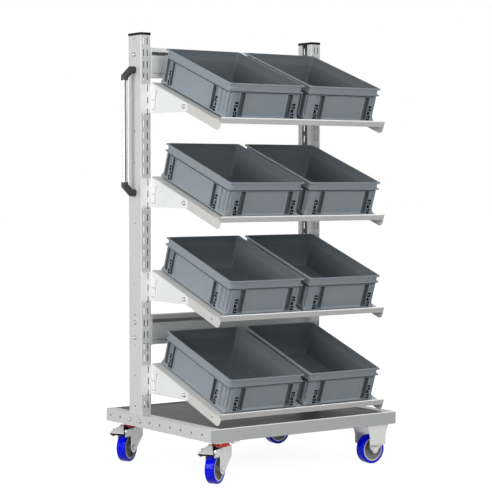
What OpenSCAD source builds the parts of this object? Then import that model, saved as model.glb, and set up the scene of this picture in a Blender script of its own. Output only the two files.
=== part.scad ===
// Mobile bin cart: two perforated uprights on a rolling platform carry four
// forward-tilted sheet-metal trays, each holding two open stacking bins.
// Units are millimetres, +Z is up and -Y is the front that the bins open to.
// The floor is z = 0, and the origin lies under the middle of the whole outline.

/* [Platform] */
// Platform width, side to side
platform_w = 768; // [640:1:1000]
// Platform depth, front to back
platform_d = 645; // [600:1:800]
// Height of the side rails and of the folded skirts
skirt_h = 42; // [36:1:60]
// Sheet thickness of the side rails and the caster beams
rail_t = 3; // [2:0.5:4]
// Width of the side rail's flanges
rail_flange = 38; // [30:1:40]
// Sheet thickness of the deck pan
deck_t = 2; // [1.5:0.5:3]
// How far the deck sheet reaches under a rail flange
deck_overlap = 10; // [5:1:20]
// Diameter of the holes along the side rails
rail_hole_d = 8.4; // [8.4:0.2:11]
// Spacing of the holes along the side rails
rail_hole_pitch = 63; // [52:0.5:63]

/* [Uprights] */
// Upright width across the cart
upright_w = 40; // [36:1:60]
// Upright depth, front to back
upright_d = 80; // [70:1:100]
// Wall thickness of the uprights
upright_t = 2.5; // [2:0.5:4]
// Width of the upright's return lips
upright_lip = 25; // [18:1:28]
// Outer radius of the upright's folded edges
upright_round = 4; // [3:0.5:5]
// Height of the upright's metal top above the floor
upright_top = 1462; // [1430:1:1700]
// Distance of the upright's centre behind the platform's centre
upright_y = 138; // [130:1:150]
// Length of a slot in the upright's front face
slot_l = 22.5; // [18:0.5:26]
// Width of a slot in the upright's front face
slot_w = 4.5; // [4:0.5:6]
// Distance of the outer slot column from the upright's side
slot_side = 12; // [11:0.5:14]
// Spacing of the slots up the upright
slot_pitch = 39.5; // [38:0.5:41]
// Distance between the two columns of slots
slot_column_gap = 14; // [12:1:16]
// Diameter of the accessory holes in the upright's outer side
side_hole_d = 6.5; // [4:0.5:8]
// Spacing of the accessory holes
side_hole_pitch = 103.4; // [102:0.1:105]
// Height of the lowest accessory hole above the floor
side_hole_z = 206; // [200:1:215]
// Thickness of the upright's plastic top cap
cap_t = 6; // [4:0.5:10]
// Depth of the cap's plug inside the upright
cap_plug = 12; // [8:1:20]

/* [Crossbars] */
// Height of a crossbar's section
crossbar_h = 100; // [90:1:120]
// Depth of a crossbar's section, front to back
crossbar_d = 40; // [30:1:50]
// Sheet thickness of a crossbar
crossbar_t = 2.5; // [2:0.5:4]
// Height of a crossbar's return lips
crossbar_lip = 14; // [8:1:20]
// Height of the slot above a crossbar's face plate
crossbar_slot = 12; // [8:1:16]
// Thickness of a crossbar's end plate
end_plate_t = 4; // [3:0.5:6]

/* [Handle] */
// Outer diameter of the handle tube
handle_d = 20; // [16:0.5:22]
// Wall thickness of the handle tube
handle_wall = 1.5; // [1:0.5:3]
// Outer diameter of the plastic elbows
elbow_d = 24; // [23:0.5:28]
// Distance from the upright's side to the tube's centre
handle_standoff = 39; // [36:1:60]
// Bend radius of the elbow's centre line
elbow_bend = 24; // [18:1:30]
// Straight length of the elbow below its bend
elbow_leg = 12; // [10:1:20]
// Depth of the tube's seat in the elbow
handle_seat = 9; // [6:1:10]
// Spacings of the accessory holes between the handle's two ends
handle_rows = 4; // [3:1:6]

/* [Shelf consoles] */
// Number of shelves
shelf_count = 4; // [4]
// Height of the lowest console's bottom edge above the floor
console_z = 248.5; // [246:0.5:255]
// Slot spacings from one shelf to the next
shelf_slots = 8; // [8]
// Height of a console at the upright
console_h = 98; // [94:1:105]
// Sheet thickness of a console
console_t = 2.5; // [2:0.5:3]
// Reach of a console in front of the upright
console_reach = 222; // [210:1:240]
// Height of a console at its front end
console_nose = 25; // [22:1:30]
// Height of the hook slots above a console's bottom edge
console_slot_rise = 5.2; // [4:0.1:6]
// Height of a console's hook
hook_h = 14; // [10:1:16]
// Thickness of a console's hook
hook_t = 3; // [2:0.5:3.5]

/* [Shelf trays] */
// Tilt of the trays, front edge down, in degrees
tray_tilt = 19.5; // [15:0.5:22]
// Sheet thickness of a tray
tray_t = 2; // [1.5:0.5:3]
// Distance from the bins to a tray's rear edge
tray_margin = 5; // [3:1:9]
// Depth of the turned-down side flanges
flange_h = 31; // [28:1:36]
// Corner radius at the front of a side flange
flange_corner = 18; // [8:1:20]
// Height of the front lip above the tray floor
lip_up = 15; // [8:1:20]
// Depth of the front lip below the tray floor
lip_down = 5; // [3:1:8]
// Depth of the turned-down rear edge
rear_flange = 20; // [10:1:24]
// Distance from a tray's rear edge to its pivot, along the slope
pivot_from_rear = 217; // [210:1:220]
// Depth of the pivot below the tray floor
pivot_drop = 16; // [14:1:18]
// Distance of the pivot in front of the upright
pivot_reach = 202; // [195:1:206]
// Height of the pivot above a console's bottom edge
pivot_rise = 17; // [15:1:20]
// Distance from the pivot to the tilt bolt
tilt_radius = 175; // [165:1:180]
// Gap between a tray's side flange and its console
tray_gap = 0.5; // [0.4:0.1:1]

/* [Bins] */
// Outer width of a bin
bin_w = 300; // [270:1:302]
// Outer depth of a bin
bin_d = 400; // [360:1:402]
// Height of a bin
bin_h = 120; // [100:1:130]
// Gap between the two bins on a tray
bin_gap = 23; // [18:1:40]
// Distance from a tray's front lip to the bins
bin_setback = 25; // [20:1:28]
// Wall thickness of a bin
bin_wall = 3; // [2:0.5:4]
// How far the rim stands out from the bin's wall
rim_out = 9.5; // [6:0.5:12]
// Height of the rim's top edge band
rim_h = 7; // [4:0.5:10]
// Height of the stiffening rib's centre above the bin's base
rib_z = 93; // [80:1:94]
// Thickness of the stiffening rib
rib_t = 4; // [3:0.5:6]
// Corner radius of the bin's rim
bin_corner = 14; // [13:1:25]
// Height of the stacking base under the bin's floor
base_h = 5; // [3:0.5:8]
// How far the stacking base lies inside the rim's outline
base_inset = 15; // [13:1:20]
// Length of a corner foot along each side
foot_l = 58; // [30:1:80]
// Height of a corner foot
foot_h = 5; // [3:0.5:8]

/* [Casters] */
// Height of the casters from the floor to the platform's underside
caster_h = 137; // [132:1:150]
// Wheel diameter
wheel_d = 100; // [90:1:104]
// Width of the tyre
tyre_w = 32; // [26:1:34]
// Thickness of the tyre
tyre_t = 9; // [6:0.5:12]
// Distance of the swivel casters' axes from the platform's left edge
swivel_inset = 74; // [70:1:110]
// Distance of the fixed casters from the platform's right edge
fixed_inset = 70; // [70:1:110]
// Distance of the casters from the platform's front and rear edges
caster_inset = 52.5; // [50.5:0.5:72.5]
// Offset of the wheel behind the swivel axis
trail = 44; // [36:1:50]
// Angle at which the swivel casters stand, in degrees
swivel_angle = 31; // [0:1:60]
// Length of a caster's mounting plate, across the cart
plate_l = 92; // [90:1:110]
// Width of a caster's mounting plate, front to back
plate_w = 84; // [76:1:90]
// Thickness of a caster's mounting plate
plate_t = 6; // [4:0.5:8]
// Spacing of the plate's screws across the cart
plate_screw_l = 52; // [46:1:54]
// Spacing of the plate's screws, front to back
plate_screw_w = 62; // [58:1:68]
// Diameter of the wheel axle
axle_d = 12; // [8:0.5:13]
// Sheet thickness of the caster forks
fork_t = 3; // [2:0.5:4]
// Gap between the fork legs
fork_gap = 50; // [44:1:54]
// Diameter of the swivel's pin
kingpin_d = 14; // [10:0.5:16]
// Outer diameter of the swivel's seal ring
seal_d = 58; // [50:1:64]
// Height of the swivel's seal ring
seal_h = 13; // [11:0.5:14]
// Distance of the brake pedal's tip from the swivel axis
pedal_reach = 118; // [105:1:125]
// Width of the brake pedal
pedal_w = 54; // [50:1:60]
// Thickness of the brake pedal's plate
pedal_t = 9; // [5:0.5:10]

/* [Fasteners] */
// Diameter of the frame and pivot bolts
bolt_d = 8; // [6:0.5:8]
// Diameter of the tilt bolts
tilt_bolt_d = 5; // [4:0.5:6]
// Height of a bolt's head
head_h = 5; // [3:0.5:6]

/* [Hidden] */
$fn = 64;

// Finishes
coat = "gainsboro";
zinc = "silver";
bin_plastic = "slategray";
black_plastic = "#202020";

// Clearances
eps = 1;                // overshoot of a cut beyond a face
fit = 0.3;              // gap between pieces that are slipped together
running = 0.05;         // radial clearance of a pin that turns in its hole
hole_fit = 0.2;         // radial clearance of a bolt in a drilled hole
spin_gap = 0.4;         // gap between faces that turn past each other

// Levels and side planes
platform_top = caster_h + skirt_h;
deck_top = platform_top - rail_t;
rail_x = platform_w/2 - rail_t;          // inner face of the rail's web
upright_in = rail_x - upright_w;         // inner face of the upright
upright_front = upright_y - upright_d/2;
upright_foot = caster_h + rail_t;
cavity_w = upright_w - 2*upright_t;
cavity_d = upright_d - 2*upright_t;

// Shelf geometry
shelf_pitch = shelf_slots*slot_pitch;
console_in = upright_in - console_t;     // inner face of the console's web
tray_half = console_in - tray_gap;
pivot_y = upright_front - pivot_reach;
flange_u = pivot_drop - flange_h;        // lower edge of the flange, from the pivot
tray_depth = bin_setback + bin_d + tray_margin;
tray_back = pivot_from_rear;             // edges along the slope, from the pivot
tray_front = tray_back - tray_depth;
bin_front = tray_front + bin_setback;
tilt_slot_d = tilt_bolt_d + 2*fit;
bin_off = (bin_w + bin_gap)/2;

// Caster geometry
swivel_x = platform_w/2 - swivel_inset;  // distances from the platform's centre
fixed_x = platform_w/2 - fixed_inset;
caster_y = platform_d/2 - caster_inset;
wheel_r = wheel_d/2;
plate_z = caster_h - plate_t;
seal_z = plate_z - seal_h;
crown_z = seal_z - spin_gap;
crown_t = 5.5;
crown_r = 30;
crown_front = 24;
hub_r = wheel_r - tyre_t;
boss_r = 13;                             // hub's boss and fixed leg's end
leg_end_r = 18;                          // swivel leg's end
leg_out = fork_gap/2 + fork_t;
pedal_behind = 12;                       // from the wheel's axle back to the pedal's pin
pedal_below = 4.5;                       // from the crown's underside down to the pedal's pin
pedal_x = trail + pedal_behind;
pedal_pin_z = crown_z - pedal_below;
pedal_pin_r = 3;
pedal_barrel_r = 6;
pedal_rise = 7;                          // height of the pedal's tip above the wheel
lobe_reach = 60;                         // from the wheel's axle back to the end of the fork's lobes
lobe_drop = 7;                           // from the wheel's top down to the lobes' lower edge
pedal_tip_z = wheel_d + pedal_rise;

// Fastener geometry
bolt_r = bolt_d/2;
head_r = 0.8*bolt_d;
nut_h = 0.8*bolt_d;

// Handle geometry
elbow_r = elbow_d/2;
handle_x = rail_x + handle_standoff;
crossbar_bolt_pitch = side_hole_pitch/2;
crossbar_rise = (crossbar_h + crossbar_bolt_pitch)/2;   // from a crossbar's lower bolt to its top
// the highest accessory hole with room for the upper crossbar holds the handle's upper end
handle_row = floor((upright_top - crossbar_rise - side_hole_z)/side_hole_pitch);
handle_top_z = side_hole_z + handle_row*side_hole_pitch;
handle_low_z = handle_top_z - handle_rows*side_hole_pitch;

// Crossbar geometry: the upper bar's lower bolt shares the handle's upper hole
upper_crossbar_z = handle_top_z + crossbar_bolt_pitch/2;
lower_crossbar_z = side_hole_z + 2.5*side_hole_pitch;

// The outline's middle, which the origin is moved to
reach_left = handle_x + elbow_r;
reach_right = platform_w/2 + head_h;
reach_front = caster_y + pedal_reach*sin(swivel_angle) + pedal_w/2*cos(swivel_angle);
reach_rear = platform_d/2;
middle = [(reach_right - reach_left)/2, (reach_rear - reach_front)/2, 0];

function shelf_z(n) = console_z + shelf_pitch*(shelf_count - n);
function pivot_z(n) = shelf_z(n) + pivot_rise;

// General helpers

// Moves a piece into the part's own frame.
module placed() { translate(-middle) children(); }

// The right-hand twin of a piece drawn on the left, or the piece itself.
module on_side(left) {
    if (left) children();
    else mirror([1, 0, 0]) children();
}

// A box given by its low and high corners.
module block(low, high) { translate(low) cube(high - low); }

// A cylinder along X from x0 to x1 through the point y, z.
module rod_x(x0, x1, y, z, r) { translate([x0, y, z]) rotate([0, 90, 0]) cylinder(h = x1 - x0, r = r); }

// A cylinder along Y from y0 to y1 through the point x, z.
module rod_y(y0, y1, x, z, r) { translate([x, y0, z]) rotate([-90, 0, 0]) cylinder(h = y1 - y0, r = r); }

// An outline in Y and Z given thickness t along X, from x.
module plate_yz(x, t) {
    translate([x, 0, 0]) rotate([90, 0, 90]) linear_extrude(t) children();
}

// An outline in X and Z given thickness t along Y, from y.
module plate_xz(y, t) {
    translate([0, y + t, 0]) rotate([90, 0, 0]) linear_extrude(t) children();
}

// A hexagon-headed bolt along +X: head before the origin, nut past the clamped length.
module bolt_x(clamped, r) {
    reach = clamped + 1.6*r;
    rotate([0, 90, 0]) {
        translate([0, 0, -head_h]) cylinder(h = head_h, r = 1.6*r, $fn = 6);
        translate([0, 0, -head_h/2]) cylinder(h = reach + head_h/2, r = r);
        translate([0, 0, clamped]) cylinder(h = 1.6*r, r = 1.6*r, $fn = 6);
    }
}

// A box with rounded upright edges, centred in X and Y, standing on z.
module rounded_block(w, d, z, h, r) {
    translate([0, 0, z]) {
        block([-w/2 + r, -d/2, 0], [w/2 - r, d/2, h]);
        block([-w/2, -d/2 + r, 0], [w/2, d/2 - r, h]);
        for (sx = [-1, 1], sy = [-1, 1])
            translate([sx*(w/2 - r), sy*(d/2 - r), 0]) cylinder(h = h, r = r);
    }
}

// Platform

function rail_hole_y(k) = upright_y + (k + 0.5)*rail_hole_pitch;
rail_hole_first = -floor((platform_d/2 + upright_y - rail_hole_d)/rail_hole_pitch + 0.5);
rail_hole_last = floor((platform_d/2 - upright_y - rail_hole_d)/rail_hole_pitch - 0.5);

// Left side rail: a channel open to the middle, notched where the upright stands in it.
module side_rail() {
    half = platform_d/2 - deck_t;
    outer = -platform_w/2;
    color(coat) difference() {
        union() {
            block([outer, -half, caster_h], [outer + rail_t, half, platform_top]);
            block([outer, -half, deck_top], [outer + rail_flange, half, platform_top]);
            block([outer, -half, caster_h], [outer + rail_flange, half, caster_h + rail_t]);
        }
        block([-rail_x, upright_front - fit, deck_top - eps],
              [outer + rail_flange + eps, upright_front + upright_d + fit, platform_top + eps]);
        for (k = [rail_hole_first : rail_hole_last])
            rod_x(outer - eps, -rail_x + eps, rail_hole_y(k), caster_h + skirt_h/2, rail_hole_d/2);
    }
}

module side_rail_left() { side_rail(); }
module side_rail_right() { on_side(false) side_rail(); }

// Deck pan: a sheet whose edges are stepped down under the rail flanges, with a skirt at front and rear.
module base_deck() {
    clear = platform_w/2 - rail_flange - fit;
    half = platform_w/2 - rail_flange + deck_overlap;
    color("darkgray") difference() {
        union() {
            block([-clear, -platform_d/2, deck_top - deck_t], [clear, platform_d/2, deck_top]);
            block([-half, -platform_d/2, deck_top - deck_t], [half, platform_d/2, deck_top - fit]);
            for (s = [-1, 1])
                translate([0, s*(platform_d - deck_t)/2, caster_h + skirt_h/2])
                    cube([platform_w, deck_t, skirt_h], center = true);
        }
        for (left = [true, false]) on_side(left)
            block([-half - eps, upright_front - fit, deck_top - deck_t - eps],
                  [-upright_in + fit, upright_front + upright_d + fit, deck_top + eps]);
    }
}

// Caster beams: channels welded under the deck, which the caster plates bolt to.
module caster_beams() {
    half = platform_w/2 - rail_flange - fit;
    side = plate_w/2 + rail_t;
    color(coat) for (s = [-1, 1]) difference() {
        translate([0, s*caster_y, 0]) difference() {
            block([-half, -side, caster_h], [half, side, deck_top - deck_t]);
            block([-half - eps, -side + rail_t, caster_h + rail_t],
                  [half + eps, side - rail_t, deck_top]);
        }
        for (p = plate_screws()) translate([p[0], p[1], 0])
            cylinder(h = platform_top, r = bolt_r + hole_fit);
    }
}

// Uprights

slot_first = -floor((console_z + console_slot_rise - slot_l/2 - platform_top)/slot_pitch);
slot_last = floor((upright_top - cap_plug - slot_l/2 - console_z - console_slot_rise)/slot_pitch);
side_hole_last = floor((upright_top - side_hole_d - side_hole_z)/side_hole_pitch);
crossbar_levels = [upper_crossbar_z, lower_crossbar_z];

// Left upright: a lipped channel open to the middle, with slots in front and holes in its side.
module upright(left) {
    out = -rail_x;
    low_row = handle_row - handle_rows;
    bolts = [for (z = crossbar_levels, s = [-1, 1]) z + s*crossbar_bolt_pitch/2];
    color(coat) difference() {
        translate([out + upright_w/2, upright_y, 0])
            rounded_block(upright_w, upright_d, upright_foot, upright_top - upright_foot, upright_round);
        block([out + upright_t, upright_front + upright_t, upright_foot - eps],
              [out + upright_t + cavity_w, upright_front + upright_t + cavity_d, upright_top + eps]);
        block([out + upright_t, upright_front + upright_lip, upright_foot - eps],
              [out + upright_w + eps, upright_front + upright_d - upright_lip, upright_top + eps]);
        for (k = [slot_first : slot_last], column = [0, slot_column_gap])
            translate([out + slot_side + column, upright_y, console_z + console_slot_rise + k*slot_pitch])
                cube([slot_w, upright_d + 2*eps, slot_l], center = true);
        for (k = [0 : side_hole_last])
            if (k != handle_row && !(left && k == low_row)) rod_x(out - eps, out + upright_t + eps, upright_y,
                side_hole_z + k*side_hole_pitch, side_hole_d/2);
        for (z = concat(bolts, left ? [handle_low_z] : []))
            rod_x(out - eps, out + upright_t + eps, upright_y, z, bolt_r + hole_fit);
        for (k = [-1, 0])
            rod_x(out - eps, out + upright_t + eps, rail_hole_y(k), caster_h + skirt_h/2, bolt_r + hole_fit);
    }
}

module upright_left() { upright(true); }
module upright_right() { on_side(false) upright(false); }

// Top caps: plastic plugs pushed into the tops of the uprights.
module top_caps() {
    proud = 1;
    color(black_plastic) for (left = [true, false]) on_side(left)
        translate([-rail_x + upright_w/2, upright_y, upright_top]) {
            translate([0, 0, cap_t/2]) cube([upright_w + 2*proud, upright_d + 2*proud, cap_t], center = true);
            translate([0, 0, -cap_plug/2])
                cube([cavity_w - 2*fit, cavity_d - 2*fit, cap_plug + eps], center = true);
        }
}

// Crossbars: lipped channels with a face plate in front, and end plates bolted to the uprights.
module crossbar(level) {
    face_gap = 2;
    half = upright_in - end_plate_t;
    front = upright_y - crossbar_d/2;
    back = front + crossbar_d;
    low = level - crossbar_h/2;
    high = level + crossbar_h/2;
    color(coat) difference() {
        union() {
            difference() {
                block([-half, front, low], [half, back, high]);
                block([-half - eps, front + crossbar_t, low + crossbar_t],
                      [half + eps, back - crossbar_t, high - crossbar_t]);
                block([-half - eps, front - eps, low + crossbar_lip],
                      [half + eps, back - crossbar_t, high - crossbar_lip]);
            }
            block([-half, front, low + crossbar_lip + face_gap],
                  [half, front + crossbar_t, high - crossbar_lip - crossbar_slot]);
            for (left = [true, false]) on_side(left)
                block([-upright_in, upright_front, low], [-half, upright_front + upright_d, high]);
        }
        for (s = [-1, 1])
            rod_x(-upright_in - eps, upright_in + eps, upright_y, level + s*crossbar_bolt_pitch/2,
                  bolt_r + hole_fit);
    }
}

module upper_crossbar() { crossbar(upper_crossbar_z); }
module lower_crossbar() { crossbar(lower_crossbar_z); }

// Push handle on the left upright

// Tube that the hands hold.
module handle_tube() {
    low = handle_low_z + elbow_bend + elbow_leg - handle_seat;
    high = handle_top_z - elbow_bend - elbow_leg + handle_seat;
    color("whitesmoke") translate([-handle_x, upright_y, low]) difference() {
        cylinder(h = high - low, r = handle_d/2);
        translate([0, 0, -eps]) cylinder(h = high - low + 2*eps, r = handle_d/2 - handle_wall);
    }
}

// Upper elbow at the origin: out along -X, then a bend and a leg down to the tube.
module elbow() {
    root = handle_standoff - elbow_bend;
    difference() {
        union() {
            rod_x(-root, 0, 0, 0, elbow_r);
            translate([-root, 0, -elbow_bend]) rotate([90, 0, 0])
                rotate_extrude(angle = 90, start = 90) translate([elbow_bend, 0]) circle(r = elbow_r);
            translate([-handle_standoff, 0, -elbow_bend - elbow_leg]) cylinder(h = elbow_leg, r = elbow_r);
        }
        translate([-handle_standoff, 0, -elbow_bend - elbow_leg - eps])
            cylinder(h = handle_seat + eps, r = handle_d/2 + running);
        rod_x(-root, eps, 0, 0, bolt_r + running);
    }
}

module handle_elbows() {
    color(black_plastic) {
        translate([-rail_x, upright_y, handle_top_z]) elbow();
        translate([-rail_x, upright_y, handle_low_z]) mirror([0, 0, 1]) elbow();
    }
}

// Fasteners of the frame

// Bolts that hold the uprights in the rails.
module rail_bolts() {
    color(zinc) for (left = [true, false], k = [-1, 0]) on_side(left)
        translate([-platform_w/2, rail_hole_y(k), caster_h + skirt_h/2]) bolt_x(rail_t + upright_t, bolt_r);
}

// Bolts that hold the crossbars; the handle's upper screw takes the fourth place on the left.
module crossbar_bolts() {
    color(zinc) for (left = [true, false], z = crossbar_levels, s = [-1, 1])
        if (!(left && z == upper_crossbar_z && s < 0)) on_side(left)
            translate([-rail_x, upright_y, z + s*crossbar_bolt_pitch/2])
                bolt_x(upright_w + end_plate_t, bolt_r);
}

// Screws that hold the elbows; the upper one also clamps the upper crossbar's end plate.
module handle_screws() {
    root = handle_standoff - elbow_bend;
    color(zinc) for (at = [[handle_top_z, upright_w + end_plate_t], [handle_low_z, upright_t]]) {
        rod_x(-rail_x - root + eps, -rail_x + at[1] + nut_h, upright_y, at[0], bolt_r);
        translate([-rail_x + at[1], upright_y, at[0]]) rotate([0, 90, 0])
            cylinder(h = nut_h, r = head_r, $fn = 6);
    }
}

// Shelf consoles

// Left console: a flange on the upright's front, a web that carries the tray, and two hooks.
module console(n) {
    z0 = shelf_z(n);
    out = -rail_x;
    web = -upright_in;
    nose = upright_front - console_reach;
    top_run = (console_h - console_nose)/tan(tray_tilt);
    hook_x = out + slot_side;
    color(coat) difference() {
        union() {
            block([out, upright_front - console_t, z0], [web + console_t, upright_front, z0 + console_h]);
            plate_yz(web, console_t) polygon([[nose, z0], [upright_front, z0],
                [upright_front, z0 + console_h],
                [min(nose + top_run, upright_front), z0 + console_h], [nose, z0 + console_nose]]);
            for (k = [1, 2]) {
                seat = z0 + console_slot_rise + k*slot_pitch - slot_l/2;
                block([hook_x - hook_t/2, upright_front - console_t, seat],
                      [hook_x + hook_t/2, upright_front + 2*upright_t + hook_t, seat + hook_h]);
                block([hook_x - hook_t/2, upright_front + upright_t + fit, seat - hook_h/2],
                      [hook_x + hook_t/2, upright_front + 2*upright_t + hook_t, seat + hook_h]);
            }
        }
        for (k = [0 : 2])
            translate([hook_x + slot_column_gap, upright_front, z0 + console_slot_rise + k*slot_pitch])
                cube([slot_w, 2*console_t + eps, slot_l], center = true);
        translate([web, pivot_y, z0 + pivot_rise]) {
            rod_x(-eps, console_t + eps, 0, 0, bolt_r + hole_fit);
            tilt_slot();
        }
    }
}

// Arc-shaped slot that lets the tilt bolt swing from the tray's tilt down to level.
module tilt_slot() {
    translate([-eps, 0, 0]) rotate([90, 0, 90])
        rotate_extrude(angle = tray_tilt) translate([tilt_radius - tilt_slot_d/2, 0])
            square([tilt_slot_d, console_t + 2*eps]);
    for (a = [0, tray_tilt])
        rod_x(-eps, console_t + eps, tilt_radius*cos(a), tilt_radius*sin(a), tilt_slot_d/2);
}

module console_1_left() { console(1); }
module console_1_right() { on_side(false) console(1); }
module console_2_left() { console(2); }
module console_2_right() { on_side(false) console(2); }
module console_3_left() { console(3); }
module console_3_right() { on_side(false) console(3); }
module console_4_left() { console(4); }
module console_4_right() { on_side(false) console(4); }

// Bolts that the trays pivot on, clamped in the consoles.
module pivot_bolts() {
    color(zinc) for (n = [1 : shelf_count], left = [true, false]) on_side(left)
        translate([-upright_in, pivot_y, pivot_z(n)])
            bolt_x(console_t + tray_gap + tray_t + spin_gap, bolt_r);
}

// Shelf trays, drawn with the pivot axis as their origin and the slope along Y

// Moves a piece from a tray's own frame to shelf n.
module on_shelf(n) {
    translate([0, pivot_y, pivot_z(n)]) rotate([tray_tilt, 0, 0]) children();
}

// Outline of a side flange, with a round lower corner at the front.
module flange_outline() {
    c = flange_corner;
    translate([tray_front + c, flange_u]) square([tray_depth - c, flange_h]);
    translate([tray_front, flange_u + c]) square([tray_depth, flange_h - c]);
    translate([tray_front + c, flange_u + c]) circle(r = c);
}

// Folded tray: floor, side flanges, front lip and rear flange.
module tray(n) {
    small_hole_d = 7;
    small_hole_from_front = 48;
    color(coat) on_shelf(n) difference() {
        union() {
            block([-tray_half, tray_front, pivot_drop - tray_t], [tray_half, tray_back, pivot_drop]);
            plate_yz(-tray_half, tray_t) flange_outline();
            plate_yz(tray_half - tray_t, tray_t) flange_outline();
            block([-tray_half, tray_front, pivot_drop - lip_down],
                  [tray_half, tray_front + tray_t, pivot_drop + lip_up]);
            block([-tray_half, tray_back - tray_t, pivot_drop - rear_flange],
                  [tray_half, tray_back, pivot_drop]);
        }
        for (left = [true, false]) on_side(left) {
            rod_x(-tray_half - eps, -tray_half + tray_t + eps, 0, 0, bolt_r + running);
            rod_x(-tray_half - eps, -tray_half + tray_t + eps, tilt_radius, 0, tilt_bolt_d/2 + hole_fit);
            rod_x(-tray_half - eps, -tray_half + tray_t + eps, tray_front + small_hole_from_front, 0,
                  small_hole_d/2);
        }
    }
}

module tray_1() { tray(1); }
module tray_2() { tray(2); }
module tray_3() { tray(3); }
module tray_4() { tray(4); }

// Bolts that set a tray's tilt: they move with the tray in the consoles' slots.
module tilt_bolts(n) {
    color(zinc) on_shelf(n) for (left = [true, false]) on_side(left)
        translate([-upright_in - spin_gap, tilt_radius, 0])
            bolt_x(spin_gap + console_t + tray_gap + tray_t, tilt_bolt_d/2);
}

module tilt_bolts_1() { tilt_bolts(1); }
module tilt_bolts_2() { tilt_bolts(2); }
module tilt_bolts_3() { tilt_bolts(3); }
module tilt_bolts_4() { tilt_bolts(4); }

// Bins

// Open stacking bin standing on z = 0, centred in X and Y.
module bin_shell() {
    body_w = bin_w - 2*rim_out;
    body_d = bin_d - 2*rim_out;
    body_r = bin_corner - bin_wall;
    foot_z = base_h + 1;
    difference() {
        union() {
            rounded_block(bin_w - 2*base_inset, bin_d - 2*base_inset, 0, base_h + eps, body_r);
            rounded_block(body_w, body_d, base_h, bin_h - base_h - eps, body_r);
            rounded_block(bin_w, bin_d, rib_z - rib_t/2, rib_t, bin_corner);
            rounded_block(bin_w, bin_d, bin_h - rim_h, rim_h, bin_corner);
            intersection() {
                rounded_block(bin_w, bin_d, foot_z, foot_h, bin_corner);
                for (sx = [-1, 1], sy = [-1, 1])
                    translate([sx*(bin_w - foot_l)/2, sy*(bin_d - foot_l)/2, foot_z + foot_h/2])
                        cube([foot_l, foot_l, foot_h], center = true);
            }
        }
        rounded_block(body_w - 2*bin_wall, body_d - 2*bin_wall, base_h + bin_wall, bin_h, body_r - bin_wall);
    }
}

module bin(n, left) {
    color(bin_plastic) on_shelf(n)
        translate([left ? -bin_off : bin_off, bin_front + bin_d/2, pivot_drop]) bin_shell();
}

module bin_1_left() { bin(1, true); }
module bin_1_right() { bin(1, false); }
module bin_2_left() { bin(2, true); }
module bin_2_right() { bin(2, false); }
module bin_3_left() { bin(3, true); }
module bin_3_right() { bin(3, false); }
module bin_4_left() { bin(4, true); }
module bin_4_right() { bin(4, false); }

// Casters

// Places of the screws in the four caster plates.
function plate_screws() = [for (x = [-swivel_x, fixed_x], cy = [-1, 1], sx = [-1, 1], sy = [-1, 1])
    [x + sx*plate_screw_l/2, cy*caster_y + sy*plate_screw_w/2]];

// A caster's mounting plate around its own axis, with screw holes.
module mounting_plate() {
    difference() {
        block([-plate_l/2, -plate_w/2, plate_z], [plate_l/2, plate_w/2, caster_h]);
        for (sx = [-1, 1], sy = [-1, 1])
            translate([sx*plate_screw_l/2, sy*plate_screw_w/2, plate_z - eps])
                cylinder(h = plate_t + 2*eps, r = bolt_r + hole_fit);
    }
}

// Screws and nuts that hold the caster plates to the beams.
module caster_screws() {
    color(zinc) for (p = plate_screws()) translate([p[0], p[1], plate_z]) {
        translate([0, 0, -head_h]) cylinder(h = head_h, r = head_r, $fn = 6);
        translate([0, 0, -head_h/2]) cylinder(h = head_h/2 + plate_t + rail_t + nut_h, r = bolt_r);
        translate([0, 0, plate_t + rail_t]) cylinder(h = nut_h, r = head_r, $fn = 6);
    }
}

// Moves a piece to the swivel caster at the front or the rear of the left side.
module at_swivel(front) {
    translate([-swivel_x, front ? -caster_y : caster_y, 0]) rotate([0, 0, swivel_angle]) children();
}

// Moves a piece to the fixed caster at the front or the rear of the right side.
module at_fixed(front) { translate([fixed_x, front ? -caster_y : caster_y, 0]) children(); }

// Plates of the swivel casters, each with the pin that its fork turns on.
module swivel_plates() {
    pin_low = crown_z - crown_t - spin_gap;
    pin_flange = 4;
    color(zinc) for (s = [-1, 1]) translate([-swivel_x, s*caster_y, 0]) {
        mounting_plate();
        translate([0, 0, pin_low - eps]) cylinder(h = plate_z - pin_low + 2*eps, r = kingpin_d/2);
        translate([0, 0, pin_low - head_h]) cylinder(h = head_h, r = kingpin_d/2 + pin_flange);
    }
}

// Red seal rings around the swivels.
module swivel_seals() {
    pin_gap = 3;
    color("red") for (s = [-1, 1]) translate([-swivel_x, s*caster_y, seal_z]) difference() {
        cylinder(h = seal_h, r = seal_d/2);
        translate([0, 0, -eps]) cylinder(h = seal_h + 2*eps, r = kingpin_d/2 + pin_gap);
    }
}

// Outline of a swivel fork's leg, seen from its side with the wheel behind the swivel.
module swivel_leg_outline() {
    knee_drop = 16;
    lobe_slant = 2;
    knee_z = wheel_d - knee_drop;
    polygon([[crown_front, crown_z], [crown_front, knee_z], [0.8*leg_end_r - trail, wheel_r - 0.6*leg_end_r],
        [-trail, wheel_r], [-trail - leg_end_r, wheel_r], [-trail - leg_end_r, wheel_d - lobe_drop],
        [-trail - lobe_reach, wheel_d - lobe_drop], [-trail - lobe_reach - lobe_slant, wheel_d],
        [-trail - lobe_reach + lobe_slant, crown_z]]);
    translate([-trail, wheel_r]) circle(r = leg_end_r);
}

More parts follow.
